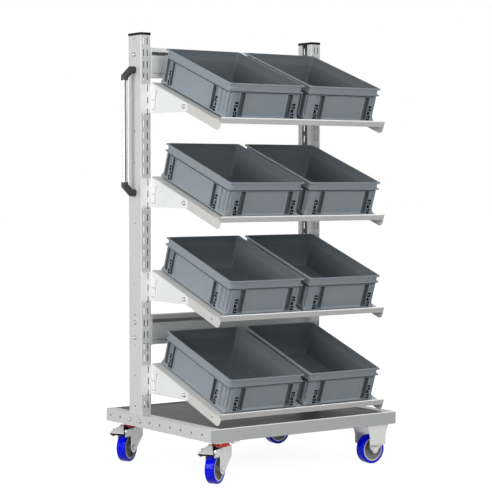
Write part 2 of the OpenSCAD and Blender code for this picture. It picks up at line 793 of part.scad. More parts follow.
// Swivel fork: a crown on the pin, a bridge over the wheel and two legs with lobes behind the wheel.
module fork() {
    bridge_end = trail - 2;
    color(zinc) difference() {
        union() {
            translate([0, 0, crown_z - crown_t]) cylinder(h = crown_t, r = crown_r);
            block([-bridge_end, -leg_out, crown_z - crown_t], [crown_front, leg_out, crown_z]);
            plate_xz(-leg_out, fork_t) swivel_leg_outline();
            plate_xz(leg_out - fork_t, fork_t) swivel_leg_outline();
        }
        translate([0, 0, crown_z - crown_t - eps]) cylinder(h = crown_t + 2*eps, r = kingpin_d/2 + running);
        rod_y(-leg_out - eps, leg_out + eps, -trail, wheel_r, axle_d/2 + hole_fit);
        rod_y(-leg_out - eps, leg_out + eps, -pedal_x, pedal_pin_z, pedal_pin_r + running);
    }
}

module fork_front() { at_swivel(true) fork(); }
module fork_rear() { at_swivel(false) fork(); }

// Brake pedal: a tread plate, its pin between the fork's lobes, and the shoe above the tyre.
module pedal() {
    inner = fork_gap/2 - spin_gap;
    lobe_gap = 4;
    clear_x = trail + lobe_reach + lobe_gap;
    root_z = pedal_pin_z + pedal_barrel_r;
    fall = (root_z - pedal_tip_z)/(pedal_reach - pedal_x);
    clear_z = root_z - fall*(clear_x - pedal_x);
    shoe = 4;
    shoe_z = wheel_d + 2;
    color("dimgray") {
        rod_y(-inner, inner, -pedal_x, pedal_pin_z, pedal_barrel_r);
        rod_y(-leg_out, leg_out, -pedal_x, pedal_pin_z, pedal_pin_r);
        plate_xz(-inner, 2*inner) polygon([[-pedal_x, root_z], [-pedal_x, root_z - pedal_t],
            [-clear_x - eps, clear_z - pedal_t], [-clear_x - eps, clear_z - fall*eps]]);
        plate_xz(-pedal_w/2, pedal_w) polygon([[-clear_x, clear_z], [-clear_x, clear_z - pedal_t],
            [-pedal_reach, pedal_tip_z - pedal_t], [-pedal_reach, pedal_tip_z]]);
        block([-pedal_x - shoe, -tyre_w/2, shoe_z], [-pedal_x + shoe, tyre_w/2, pedal_pin_z]);
    }
}

module pedal_front() { at_swivel(true) pedal(); }
module pedal_rear() { at_swivel(false) pedal(); }

// Axle bolt along Y through the wheel's centre, with a head and a nut outside the legs.
module axle(outside) {
    rod_y(-outside - head_h/2, outside + head_h/2, 0, wheel_r, axle_d/2);
    for (s = [0, 180]) rotate([0, 0, s]) translate([0, outside, wheel_r]) rotate([-90, 0, 0])
        cylinder(h = head_h, r = 0.8*axle_d, $fn = 6);
}

module swivel_axle(front) {
    color(zinc) at_swivel(front) translate([-trail, 0, 0]) axle(leg_out);
}

module swivel_axle_front() { swivel_axle(true); }
module swivel_axle_rear() { swivel_axle(false); }

module fixed_axles() {
    color(zinc) for (front = [true, false]) at_fixed(front) axle(leg_out);
}

// Wheel hub around the axle: a rim, a web and long bosses that keep it between the legs.
module hub() {
    rim_t = 6;
    web_w = 10;
    rim_w = tyre_w - 4;
    boss_w = fork_gap - 2*spin_gap;
    bore_r = axle_d/2 + running;
    color("gray") translate([0, 0, wheel_r]) rotate([90, 0, 0]) rotate_extrude()
        polygon([[bore_r, -boss_w/2], [boss_r, -boss_w/2], [boss_r, -web_w/2], [hub_r - rim_t, -web_w/2],
            [hub_r - rim_t, -rim_w/2], [hub_r, -rim_w/2], [hub_r, rim_w/2], [hub_r - rim_t, rim_w/2],
            [hub_r - rim_t, web_w/2], [boss_r, web_w/2], [boss_r, boss_w/2], [bore_r, boss_w/2]]);
}

// Tyre moulded on the hub, with rounded shoulders.
module tyre() {
    seat_r = hub_r + running;
    half = tyre_w/2;
    round = tyre_t/2;
    shoulder = [for (a = [0 : 15 : 90])
        [wheel_r - round + round*sin(a), half - round + round*cos(a)]];
    color("blue") translate([0, 0, wheel_r]) rotate([90, 0, 0]) rotate_extrude()
        polygon(concat([[seat_r, half]], shoulder, [for (k = [len(shoulder) - 1 : -1 : 0])
            [shoulder[k][0], -shoulder[k][1]]], [[seat_r, -half]]));
}

module hub_front_left() { at_swivel(true) translate([-trail, 0, 0]) hub(); }
module hub_rear_left() { at_swivel(false) translate([-trail, 0, 0]) hub(); }
module hub_front_right() { at_fixed(true) hub(); }
module hub_rear_right() { at_fixed(false) hub(); }
module tyre_front_left() { at_swivel(true) translate([-trail, 0, 0]) tyre(); }
module tyre_rear_left() { at_swivel(false) translate([-trail, 0, 0]) tyre(); }
module tyre_front_right() { at_fixed(true) tyre(); }
module tyre_rear_right() { at_fixed(false) tyre(); }

// Fixed caster bracket: a plate whose two wide legs step in to hold the wheel's axle.
module fixed_bracket() {
    step_rise = 8;
    step_h = 12;
    waist = 34;
    toe = 3;
    shoulder_inset = 1;
    step_low = wheel_r + step_rise;
    step_high = step_low + step_h;
    wide = plate_w/2;
    shoulder = plate_l/2 - shoulder_inset;
    leg_in = leg_out - fork_t;
    color(zinc) {
        mounting_plate();
        for (s = [0, 180]) rotate([0, 0, s]) difference() {
            intersection() {
                plate_yz(-plate_l/2, plate_l) polygon([[leg_in, wheel_r - boss_r],
                    [leg_out, wheel_r - boss_r],
                    [leg_out, step_low], [wide, step_high], [wide, plate_z], [wide - fork_t, plate_z],
                    [wide - fork_t, step_high + fork_t/2], [leg_in, step_low + fork_t/2]]);
                plate_xz(0, plate_w) {
                    polygon([[-shoulder, plate_z], [shoulder, plate_z], [waist, wheel_d], [waist, step_high],
                        [boss_r, wheel_r - toe], [-boss_r, wheel_r - toe], [-waist, step_high],
                        [-waist, wheel_d]]);
                    translate([0, wheel_r]) circle(r = boss_r);
                }
            }
            rod_y(0, plate_w, 0, wheel_r, axle_d/2 + hole_fit);
        }
    }
}

module fixed_bracket_front() { at_fixed(true) fixed_bracket(); }
module fixed_bracket_rear() { at_fixed(false) fixed_bracket(); }

// The part
placed() base_deck();
placed() side_rail_left();
placed() side_rail_right();
placed() caster_beams();
placed() upright_left();
placed() upright_right();
placed() top_caps();
placed() upper_crossbar();
placed() lower_crossbar();
placed() handle_tube();
placed() handle_elbows();
placed() rail_bolts();
placed() crossbar_bolts();
placed() handle_screws();
placed() console_1_left();
placed() console_1_right();
placed() console_2_left();
placed() console_2_right();
placed() console_3_left();
placed() console_3_right();
placed() console_4_left();
placed() console_4_right();
placed() pivot_bolts();
placed() tray_1();
placed() tray_2();
placed() tray_3();
placed() tray_4();
placed() tilt_bolts_1();
placed() tilt_bolts_2();
placed() tilt_bolts_3();
placed() tilt_bolts_4();
placed() bin_1_left();
placed() bin_1_right();
placed() bin_2_left();
placed() bin_2_right();
placed() bin_3_left();
placed() bin_3_right();
placed() bin_4_left();
placed() bin_4_right();
placed() swivel_plates();
placed() swivel_seals();
placed() caster_screws();
placed() fork_front();
placed() swivel_axle_front();
placed() hub_front_left();
placed() tyre_front_left();
placed() pedal_front();
placed() fork_rear();
placed() swivel_axle_rear();
placed() hub_rear_left();
placed() tyre_rear_left();
placed() pedal_rear();
placed() fixed_bracket_front();
placed() fixed_bracket_rear();
placed() fixed_axles();
placed() hub_front_right();
placed() tyre_front_right();
placed() hub_rear_right();
placed() tyre_rear_right();
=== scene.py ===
"""Mobile bin cart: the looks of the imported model, in the order in which the cart is put together."""

from math import cos, pi, radians, sin

import bpy
import numpy as np
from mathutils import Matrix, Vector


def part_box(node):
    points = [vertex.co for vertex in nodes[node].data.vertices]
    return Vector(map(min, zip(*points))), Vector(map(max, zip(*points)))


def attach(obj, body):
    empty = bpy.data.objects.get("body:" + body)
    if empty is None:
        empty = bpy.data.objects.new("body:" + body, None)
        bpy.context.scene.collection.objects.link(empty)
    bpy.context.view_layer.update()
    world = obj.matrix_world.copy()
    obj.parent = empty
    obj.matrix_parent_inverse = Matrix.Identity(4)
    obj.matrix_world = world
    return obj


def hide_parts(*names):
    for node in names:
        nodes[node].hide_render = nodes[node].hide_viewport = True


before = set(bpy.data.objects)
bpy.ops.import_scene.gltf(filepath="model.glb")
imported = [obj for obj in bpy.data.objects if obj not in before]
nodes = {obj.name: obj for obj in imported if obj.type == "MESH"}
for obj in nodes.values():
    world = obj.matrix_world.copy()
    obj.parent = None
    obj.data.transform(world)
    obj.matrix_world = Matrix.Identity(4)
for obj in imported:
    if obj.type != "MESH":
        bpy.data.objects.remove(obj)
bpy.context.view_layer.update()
scene = bpy.context.scene
scene.view_settings.view_transform = "Standard"

# Camera
# It stands a little over five metres off the front left corner at waist height, looks
# slightly down, and has a long lens, so the cart's upright edges stay nearly parallel.
look_down, look_right = 0.039, 0.6191
camera_data = bpy.data.cameras.new("camera")
camera_data.sensor_width = 36
camera_data.lens = 125
camera = bpy.data.objects.new("camera", camera_data)
camera.location = (-3.40426, -4.76711, 0.97513)
camera.rotation_euler = (pi / 2 - look_down, 0, -look_right)
scene.collection.objects.link(camera)
scene.camera = camera


# Studio
# A pale floor and a surround, both white to the eye, and two soft lamps, a large one on the left and a
# smaller one in front. Lamps and surround shine mostly from the side, so light reaches in under the shelves.
def node_in(tree, kind, **values):
    """Adds a shader node; a name that is an input sets its value, and any other name a property."""
    made = tree.nodes.new(kind)
    for key, value in values.items():
        if key in made.inputs:
            made.inputs[key].default_value = value
        else:
            setattr(made, key, value)
    return made


def seen_directly(tree):
    """One where the camera, a mirror or glass sees a surface, and nought where it only lights others."""
    path = node_in(tree, "ShaderNodeLightPath")
    mirrored = node_in(tree, "ShaderNodeMath", operation="MAXIMUM")
    either = node_in(tree, "ShaderNodeMath", operation="MAXIMUM")
    tree.links.new(path.outputs["Is Glossy Ray"], mirrored.inputs[0])
    tree.links.new(path.outputs["Is Transmission Ray"], mirrored.inputs[1])
    tree.links.new(path.outputs["Is Camera Ray"], either.inputs[0])
    tree.links.new(mirrored.outputs[0], either.inputs[1])
    return either.outputs[0]


horizon_light, zenith_light = 1.05, 0.2
surround = bpy.data.worlds.new("surround")
surround.use_nodes = True
tree = surround.node_tree
tree.nodes.clear()
lit = node_in(tree, "ShaderNodeBackground", Color=(0.96, 0.98, 1, 1))
toward = node_in(tree, "ShaderNodeTexCoord")
apart = node_in(tree, "ShaderNodeSeparateXYZ")
fade = node_in(tree, "ShaderNodeMapRange")
fade.inputs["To Min"].default_value = horizon_light
fade.inputs["To Max"].default_value = zenith_light
white = node_in(tree, "ShaderNodeBackground", Color=(1, 1, 1, 1), Strength=1.0)
choose = node_in(tree, "ShaderNodeMixShader")
world_out = node_in(tree, "ShaderNodeOutputWorld")
tree.links.new(toward.outputs["Generated"], apart.inputs[0])
tree.links.new(apart.outputs["Z"], fade.inputs["Value"])
tree.links.new(fade.outputs["Result"], lit.inputs["Strength"])
tree.links.new(seen_directly(tree), choose.inputs[0])
tree.links.new(lit.outputs[0], choose.inputs[1])
tree.links.new(white.outputs[0], choose.inputs[2])
tree.links.new(choose.outputs[0], world_out.inputs[0])
scene.world = surround

floor_half, floor_glow, floor_shade, floor_bounce = 30, 0.9, 0.33, 0.15
floor_corners = [(-floor_half, -floor_half, 0), (floor_half, -floor_half, 0),
                 (floor_half, floor_half, 0), (-floor_half, floor_half, 0)]
floor_mesh = bpy.data.meshes.new("studio_floor")
floor_mesh.from_pydata(floor_corners, [], [(0, 1, 2, 3)])
floor = bpy.data.objects.new("studio_floor", floor_mesh)
scene.collection.objects.link(floor)
floor_paint = bpy.data.materials.new("studio_floor")
floor_paint.use_nodes = True
tree = floor_paint.node_tree
tree.nodes.clear()
matt = node_in(tree, "ShaderNodeBsdfDiffuse", Color=(floor_bounce, floor_bounce, floor_bounce, 1))
faint = node_in(tree, "ShaderNodeBsdfDiffuse", Color=(floor_shade, floor_shade, floor_shade, 1))
glow = node_in(tree, "ShaderNodeEmission", Color=(1, 1, 1, 1), Strength=floor_glow)
shown = node_in(tree, "ShaderNodeAddShader")
choose = node_in(tree, "ShaderNodeMixShader")
floor_out = node_in(tree, "ShaderNodeOutputMaterial")
tree.links.new(faint.outputs[0], shown.inputs[0])
tree.links.new(glow.outputs[0], shown.inputs[1])
tree.links.new(seen_directly(tree), choose.inputs[0])
tree.links.new(matt.outputs[0], choose.inputs[1])
tree.links.new(shown.outputs[0], choose.inputs[2])
tree.links.new(choose.outputs[0], floor_out.inputs[0])
floor_mesh.materials.append(floor_paint)


def soft_lamp(name, place, aim, width, height, watts):
    """A rectangular lamp that stands at a place and faces a point."""
    data = bpy.data.lights.new(name, "AREA")
    data.shape = "RECTANGLE"
    data.size = width
    data.size_y = height
    data.energy = watts
    lamp = bpy.data.objects.new(name, data)
    scene.collection.objects.link(lamp)
    back = np.array(place, float) - np.array(aim, float)
    lamp.location = place
    lamp.rotation_euler = (np.arccos(back[2] / np.linalg.norm(back)), 0, np.arctan2(back[0], -back[1]))


cart_middle = (0, 0, 0.8)
soft_lamp("lamp_left", (-3.9, -0.9, 1.4), cart_middle, 1.8, 2.0, 76)
soft_lamp("lamp_front", (-0.9, -4.4, 2.1), cart_middle, 1.4, 1.0, 56)


# Platform
# Two folded side rails with rows of punched holes, a deck pan laid between them and two channels under it
# that take the caster plates. All are coated steel sheet, light grey, with a dark top on the deck.
def finish(name, colour, roughness, metal=0.0, patches=0.06, patch_size=0.12, grain=0.0003,
           uneven=0.08, stretch=(1, 1, 1), shine=0.4):
    """A finish with soft patches of tone, an uneven gloss and a fine grain in its surface.

    Patches and gloss follow one cloudy pattern of patch_size metres. The grain is a bump of grain metres
    with grains of grain_size metres. Stretch draws both out along an axis, as brushing or rolling does.
    """
    grain_size, least_roughness = 0.0012, 0.02
    made = bpy.data.materials.new(name)
    made.use_nodes = True
    tree = made.node_tree
    shader = tree.nodes["Principled BSDF"]
    shader.inputs["Metallic"].default_value = metal
    shader.inputs["Specular IOR Level"].default_value = shine
    where = node_in(tree, "ShaderNodeTexCoord")
    turn = node_in(tree, "ShaderNodeMapping", Scale=stretch)
    tree.links.new(where.outputs["Object"], turn.inputs["Vector"])
    cloud = node_in(tree, "ShaderNodeTexNoise", Scale=1 / patch_size, Detail=4.0, Roughness=0.6)
    tree.links.new(turn.outputs["Vector"], cloud.inputs["Vector"])
    tone = node_in(tree, "ShaderNodeMix", data_type="RGBA")
    darker, lighter = [s for s in tone.inputs if s.type == "RGBA"]
    darker.default_value = (*[max(0, c * (1 - patches)) for c in colour], 1)
    lighter.default_value = (*[min(1, c * (1 + patches)) for c in colour], 1)
    tree.links.new(cloud.outputs["Fac"], tone.inputs["Factor"])
    mixed = [s for s in tone.outputs if s.type == "RGBA"][0]
    tree.links.new(mixed, shader.inputs["Base Color"])
    gloss = node_in(tree, "ShaderNodeMapRange")
    gloss.inputs["To Min"].default_value = max(least_roughness, roughness - uneven)
    gloss.inputs["To Max"].default_value = min(1, roughness + uneven)
    tree.links.new(cloud.outputs["Fac"], gloss.inputs["Value"])
    tree.links.new(gloss.outputs["Result"], shader.inputs["Roughness"])
    grains = node_in(tree, "ShaderNodeTexNoise", Scale=1 / grain_size, Detail=2.0)
    tree.links.new(turn.outputs["Vector"], grains.inputs["Vector"])
    bump = node_in(tree, "ShaderNodeBump", Strength=0.35, Distance=grain)
    tree.links.new(grains.outputs["Fac"], bump.inputs["Height"])
    tree.links.new(bump.outputs["Normal"], shader.inputs["Normal"])
    return made


def dress(material, edge, *names):
    """Gives CAD nodes a finish; an edge joins their loose triangles and rounds their corners by that much."""
    for name in names:
        piece = nodes[name]
        piece.data.materials.clear()
        piece.data.materials.append(material)
        if edge:
            weld = piece.modifiers.new("joined", "WELD")
            weld.merge_threshold = 0.00002
            bevel = piece.modifiers.new("edges", "BEVEL")
            bevel.width = edge
            bevel.segments = 2
            bevel.limit_method = "ANGLE"
            bevel.angle_limit = radians(40)


frame_coat = finish("frame_coat", (0.62, 0.62, 0.615), 0.42)
deck_coat = finish("deck_coat", (0.07, 0.07, 0.071), 0.45, patches=0.1, shine=0.12)
dress(frame_coat, 0, "side_rail_left", "side_rail_right", "caster_beams")
dress(deck_coat, 0.0008, "base_deck")


def second_coat(material, colour, centre, beyond):
    """Lays another colour where the Object coordinate Y lies further from a centre than a distance."""
    tree = material.node_tree
    shader = tree.nodes["Principled BSDF"]
    first = shader.inputs["Base Color"].links[0].from_socket
    where = node_in(tree, "ShaderNodeTexCoord")
    apart = node_in(tree, "ShaderNodeSeparateXYZ")
    offset = node_in(tree, "ShaderNodeMath", operation="SUBTRACT")
    offset.inputs[1].default_value = centre
    distance = node_in(tree, "ShaderNodeMath", operation="ABSOLUTE")
    outside = node_in(tree, "ShaderNodeMath", operation="GREATER_THAN")
    outside.inputs[1].default_value = beyond
    tree.links.new(where.outputs["Object"], apart.inputs[0])
    tree.links.new(apart.outputs["Y"], offset.inputs[0])
    tree.links.new(offset.outputs[0], distance.inputs[0])
    tree.links.new(distance.outputs[0], outside.inputs[0])
    change = node_in(tree, "ShaderNodeMix", data_type="RGBA")
    inner, outer = [s for s in change.inputs if s.type == "RGBA"]
    outer.default_value = (*colour, 1)
    tree.links.new(outside.outputs[0], change.inputs["Factor"])
    tree.links.new(first, inner)
    mixed = [s for s in change.outputs if s.type == "RGBA"][0]
    tree.links.new(mixed, shader.inputs["Base Color"])


deck_low, deck_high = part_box("base_deck")
deck_middle = (deck_low[1] + deck_high[1]) / 2
deck_half = (deck_high[1] - deck_low[1]) / 2
skirt_sheet = 0.0025
second_coat(deck_coat, (0.53, 0.53, 0.525), deck_middle, deck_half - skirt_sheet)


def mesh_of_loops(name, stacks, ring):
    """A mesh of closed stacks of loops, each stack an array of loops, points and coordinates.

    Quads join neighbouring loops. Flat faces close a stack's ends, or a ring's last loop joins its first.
    """
    faces = []
    start = 0
    for points in stacks:
        count, size = points.shape[:2]
        index = start + np.arange(count * size).reshape(count, size)
        ahead = np.roll(index, -1, axis=1)
        quads = np.stack([index[:-1], ahead[:-1], ahead[1:], index[1:]], axis=-1)
        faces += quads.reshape(-1, 4).tolist()
        if ring:
            faces += np.stack([index[-1], ahead[-1], ahead[0], index[0]], axis=-1).tolist()
        else:
            faces += [index[0][::-1].tolist(), index[-1].tolist()]
        start += count * size
    mesh = bpy.data.meshes.new(name)
    mesh.from_pydata(np.concatenate([points.reshape(-1, 3) for points in stacks]).tolist(), [], faces)
    mesh.shade_smooth()
    mesh.set_sharp_from_angle(angle=radians(32))
    return mesh


def add_piece(name, stacks, material, body, ring=False):
    """Makes a piece of stacks of loops, puts it into the scene and lets it ride on a body."""
    mesh = mesh_of_loops(name, stacks, ring)
    mesh.materials.append(material)
    piece = bpy.data.objects.new(name, mesh)
    scene.collection.objects.link(piece)
    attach(piece, body)
    return piece


def bead(radius, y, z, x_from, x_to):
    """A round bead along X: a circle of ten points about a line at one Y and Z, at five stations."""
    angle = np.arange(10) * 2 * pi / 10
    x = np.linspace(x_from, x_to, 5)[:, None]
    across, up = y + radius * np.cos(angle), z + radius * np.sin(angle)
    return np.stack([x + 0 * angle, across + 0 * x, up + 0 * x], axis=-1)


# The skirts' upper edges are rolled over, and their bright coat is a painted highlight along them.
edge_painted_highlight = finish("edge_painted_highlight", (0.9, 0.9, 0.89), 0.25, metal=0.8, patches=0.08, patch_size=0.03)
edge_r = 0.0016
edges = [bead(edge_r, y, deck_high[2] - edge_r / 2, deck_low[0], deck_high[0])
         for y in (deck_low[1] + edge_r / 2, deck_high[1] - edge_r / 2)]
add_piece("skirt_edges", edges, edge_painted_highlight, "frame")


def bar_along_y(section, y_from, y_to):
    """A bar or folded strip: its section, points in X and Z, carried along Y through five stations."""
    section = np.array(section)
    y = np.linspace(y_from, y_to, 5)[:, None]
    return np.stack([section[:, 0] + 0 * y, 0 * section[:, 0] + y, section[:, 1] + 0 * y], axis=-1)


# Near-black liners stand in the rails behind their holes, in front of and behind the uprights' feet: a sheet
# of painted shade inside the rails.
painted_shade_coat = finish("painted_shade_coat", (0.03, 0.03, 0.031), 0.6)
liner_t, liner_lip, liner_gap, rail_sheet, foot_gap = 0.0015, 0.012, 0.008, 0.003, 0.002
for side, hand in (("left", 1), ("right", -1)):
    rail_low, rail_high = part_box(f"side_rail_{side}")
    post_low, post_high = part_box(f"upright_{side}")
    web = (rail_low[0] if hand > 0 else rail_high[0]) + hand * (rail_sheet + liner_gap)
    low, high = rail_low[2] + rail_sheet, rail_high[2] - rail_sheet
    inner, lip = web + hand * liner_t, web + hand * liner_lip
    section = [(web, low), (lip, low), (lip, low + liner_t), (inner, low + liner_t),
               (inner, high - liner_t), (lip, high - liner_t), (lip, high), (web, high)][::-hand]
    lengths = [bar_along_y(section, rail_low[1], post_low[1] - foot_gap),
               bar_along_y(section, post_high[1] + foot_gap, rail_high[1])]
    add_piece(f"rail_shade_sheet_{side}", lengths, painted_shade_coat, "frame")

# Frame
# Two slotted upright channels stand in the rails, tied by two crossbars with welded end
# plates, all of coated steel. Black plastic plugs close the uprights' tops.
black_plastic = finish("black_plastic", (0.006, 0.006, 0.007), 0.5, grain=0.0002, shine=0.1)
post_coat = finish("post_coat", (0.62, 0.62, 0.615), 0.24, shine=0.8)
# The crossbars take lit and shaded copies of one coat: the upper one's is painted far lighter than the lower
# one's, as painted light.
crossbar_coat_painted_lit = finish("crossbar_coat_painted_lit", (0.9, 0.9, 0.895), 0.4)
crossbar_coat_painted_shaded = finish("crossbar_coat_painted_shaded", (0.66, 0.66, 0.655), 0.4)
dress(post_coat, 0, "upright_left", "upright_right")
dress(crossbar_coat_painted_lit, 0, "upper_crossbar")
dress(crossbar_coat_painted_shaded, 0, "lower_crossbar")
cap_low, cap_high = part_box("top_caps")


def cap_shell(centre_x, half_x, half_y, top):
    """A plastic cap: rounded rectangles from inside its skirt, round the skirt's foot and up to its top.

    Each loop lies at a height under the top and is drawn in towards the middle by an inset.
    """
    skirt, skirt_t, plate, corner_r = 0.0025, 0.0009, 0.006, 0.004
    edge_drop, edge_in, edge_half = 0.0012, 0.0014, 0.0004
    loops = np.array([(-plate, skirt_t), (-plate - skirt, skirt_t), (-plate - skirt, 0),
                      (-edge_drop, 0), (-edge_half, edge_half), (0, edge_in)])
    height, inset = loops.T[:, :, None]
    angle = np.linspace(0, pi / 2, 6)
    out_x, out_y = corner_r * np.cos(angle), corner_r * np.sin(angle)
    flat_x, flat_y = half_x - corner_r, half_y - corner_r
    x = np.concatenate([flat_x + out_x, -flat_x - out_x[::-1], -flat_x - out_x, flat_x + out_x[::-1]])
    y = np.concatenate([flat_y + out_y, flat_y + out_y[::-1], -flat_y - out_y, -flat_y - out_y[::-1]])
    x = x * (1 - inset / half_x) + centre_x
    y = y * (1 - inset / half_y) + (cap_low[1] + cap_high[1]) / 2
    return np.stack([x, y, top + height + 0 * x], axis=-1)


cap_half = 0.021
for side, middle_x in (("left", cap_low[0] + cap_half), ("right", cap_high[0] - cap_half)):
    shell = cap_shell(middle_x, cap_half, (cap_high[1] - cap_low[1]) / 2, cap_high[2])
    cap = add_piece(f"top_cap_{side}", [shell], black_plastic, "frame")
    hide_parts("top_caps")

# Bolts
# Plated steel bolts clamp the rails, crossbars and consoles, with round button heads outside and
# hexagon nuts inside. The tilt bolts sit in the trays' flanges and move with the trays.
zinc = finish("zinc", (0.7, 0.7, 0.69), 0.34, metal=0.5, patches=0.1, patch_size=0.015)
bolt_steel = finish("bolt_steel", (0.42, 0.42, 0.42), 0.2, metal=0.85, patches=0.1, patch_size=0.01)
dress(bolt_steel, 0.0005, "handle_screws", "caster_screws")

# Places in millimetres are those of the part's source, and row_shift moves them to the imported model's.
row_shift = np.array([21.5, 15.709, 0])
shelves = (1, 2, 3, 4)
slope = radians(19.5)
pivot_y, lowest_pivot_z, shelf_pitch, tilt_reach = -104, 265.5, 316, 175


def pivot_z(shelf):
    """Height of the line that a tray pivots on, in millimetres; shelf 1 is the top one."""
    return lowest_pivot_z + shelf_pitch * (len(shelves) - shelf)


rail_bolt_y, rail_bolt_z = (106.5, 169.5), 158
crossbar_bolt_y, crossbar_bolt_z = 138, (1395.1, 1343.4, 490.35, 438.65)
taken_by_elbow = ("crossbar_bolts", 1, crossbar_bolt_z[1])

# Each row: the heads' seat in X, the shank's radius, the head's height, the thickness clamped, and places.
bolt_rows = {"rail_bolts": (384, 4, 9, 5.5, [(y, rail_bolt_z) for y in rail_bolt_y]),
             "crossbar_bolts": (381, 4, 9, 44, [(crossbar_bolt_y, z) for z in crossbar_bolt_z]),
             "pivot_bolts": (341, 4, 8, 5.4, [(pivot_y, pivot_z(shelf)) for shelf in shelves[::-1]])}
for shelf in shelves:
    tilt_place = (pivot_y + tilt_reach * cos(slope), pivot_z(shelf) + tilt_reach * sin(slope))
    bolt_rows[f"tilt_bolts_{shelf}"] = (341.4, 2.5, 3, 5.4, [tilt_place])


def button_bolt(x, y, z, inward, radius, crown, clamped):
    """A bolt along X in millimetres: loops from the head's crown over its rim, along the shank to the nut.

    The head is half an ellipse, twice as wide as the shank and crown millimetres high. The nut's loops have
    a hexagon's radius, which is its half width over the cosine of the angle from the nearest flat.
    """
    crown_from, nut_half, nut_high = 0.04, 1.45 * radius, 1.5 * radius
    dome = [(-crown * cos(t), 2 * radius * sin(t), 0) for t in np.linspace(crown_from, pi / 2, 8)]
    loops = np.array(dome + [(0, radius, 0), (clamped, radius, 0), (clamped, nut_half, 1),
                             (clamped + nut_high, nut_half, 1)])
    along, reach, hexagon = loops.T[:, :, None]
    angle = np.arange(36) * 2 * pi / 36
    flat = 1 / np.cos((angle + pi / 6) % (pi / 3) - pi / 6)
    reach = reach * (1 + hexagon * (flat - 1))
    return np.stack([x + inward * along + 0 * reach, y + reach * np.cos(angle),
                     z + inward * reach * np.sin(angle)], axis=-1)


for node, (side_x, radius, crown, clamped, places) in bolt_rows.items():
    bolts = []
    for hand in (1, -1):
        for y, z in places:
            if (node, hand, z) != taken_by_elbow:
                bolt = button_bolt(-hand * side_x, y, z, hand, radius, crown, clamped)
                bolts.append((bolt + row_shift) / 1000)
    tilts = node.startswith("tilt")
    row = add_piece(f"button_{node}", bolts, zinc if tilts else bolt_steel,
                    f"tray_body_{node[-1]}" if tilts else "frame")
    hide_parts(node)

# Push handle
# A bright drawn tube with a dark groove along it, plugged into two moulded black elbows.
# The elbows are screwed to the left upright and leave room for the hand behind the tube.
handle_metal = finish("handle_metal", (0.8, 0.8, 0.805), 0.3, metal=0.6, patches=0.04, uneven=0.04,
                      grain=0.00002, stretch=(1, 1, 0.05))
elbow_plastic = finish("elbow_plastic", (0.035, 0.036, 0.038), 0.45, grain=0.0002)
tube_low, tube_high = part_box("handle_tube")


def grooved_tube(low, high):
    """A tube along Z, and which points of its circle lie in the groove.

    The circle's radius drops by the groove's depth within a narrow angle on the side towards the front left.
    """
    radius = (high[0] - low[0]) / 2
    groove_depth, groove_half, groove_at = 0.0028, 0.2, radians(-110)
    edge = groove_half * np.array([-1.25, -1, 1, 1.25])
    off = np.sort(np.concatenate([np.linspace(-pi, pi, 60, endpoint=False), edge]))
    in_groove = np.abs(off) < groove_half * 1.1
    reach = np.where(in_groove, radius - groove_depth, radius)
    z = np.linspace(low[2], high[2], 9)[:, None]
    x = (low[0] + high[0]) / 2 + reach * np.cos(off + groove_at)
    y = (low[1] + high[1]) / 2 + reach * np.sin(off + groove_at)
    return np.stack([x + 0 * z, y + 0 * z, z + 0 * x], axis=-1), in_groove


tube_points, in_groove = grooved_tube(tube_low, tube_high)
tube = add_piece("grip_tube", [tube_points], handle_metal, "frame")
tube.data.materials.append(elbow_plastic)
dark = np.tile(in_groove & np.roll(in_groove, -1), len(tube_points) - 1)
tube.data.polygons.foreach_set("material_index", np.append(dark, [False, False]).astype(np.int32))
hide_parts("handle_tube")


def mitred_rod(path, radius):
    """A round rod of straight stretches: a circle at each point of a path in X and Z, tilted at the corners.

    At a corner the circle lies in the plane that halves it. Its half width there is the radius over the
    cosine of half the turn, along the line that halves the corner.
    """
    path = np.array(path, float)
    step = np.diff(path, axis=0)
    step /= np.linalg.norm(step, axis=1)[:, None]
    before = np.vstack([step[:1], step])
    after = np.vstack([step, step[-1:]])
    mean = before + after
    mean /= np.linalg.norm(mean, axis=1)[:, None]
    stretch = 1 / (mean * after).sum(axis=1)
    normal = np.stack([-mean[:, 1], mean[:, 0]], axis=1)
    angle = np.arange(40) * 2 * pi / 40
    reach = radius * stretch[:, None] * np.cos(angle)
    x = path[:, :1] + normal[:, :1] * reach
    z = path[:, 1:] + normal[:, 1:] * reach
    y = -radius * np.sin(angle) + 0 * x
    return np.stack([x, y, z], axis=-1)


elbow_low, elbow_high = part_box("handle_elbows")
elbow_r, stand_off, chamfer, leg = 0.012, 0.039, 0.024, 0.036
elbow_y = (elbow_low[1] + elbow_high[1]) / 2
for name, level, down in (("upper_elbow", elbow_high[2] - elbow_r, 1),
                          ("lower_elbow", elbow_low[2] + elbow_r, -1)):
    route = [(0, 0), (chamfer - stand_off, 0), (-stand_off, -down * chamfer), (-stand_off, -down * leg)]
    rod = mitred_rod(route, elbow_r) + np.array([elbow_high[0], elbow_y, level])
    elbow = add_piece(name, [rod], elbow_plastic, "frame")
    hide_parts("handle_elbows")

# Consoles
# Folded steel brackets with a white coat. Their hooks hang in the uprights' slots, and a
# curved slot in each guides the tray's tilt bolt.
console_coat = finish("console_coat", (0.86, 0.86, 0.855), 0.4)
for shelf in shelves:
    dress(console_coat, 0, f"console_{shelf}_left", f"console_{shelf}_right")

# Small holes punched beside the fold show dark; short near-black plugs let into the plates stand for them,
# their colour painted shade.
plate_x, hole_r, hole_sunk, hole_proud = 341, 2, 1, 0.1
hole_backs, hole_rises = (184, 195), (-3, 28)
holes = []
for shelf in shelves:
    for hand in (1, -1):
        x_from, x_to = sorted((hand * (plate_x - hole_sunk), hand * (plate_x + hole_proud)))
        for back in hole_backs:
            for rise in hole_rises:
                plug = bead(hole_r, pivot_y + back, pivot_z(shelf) + rise, x_from, x_to)
                holes.append((plug + row_shift) / 1000)
add_piece("console_hole_shades", holes, painted_shade_coat, "frame")

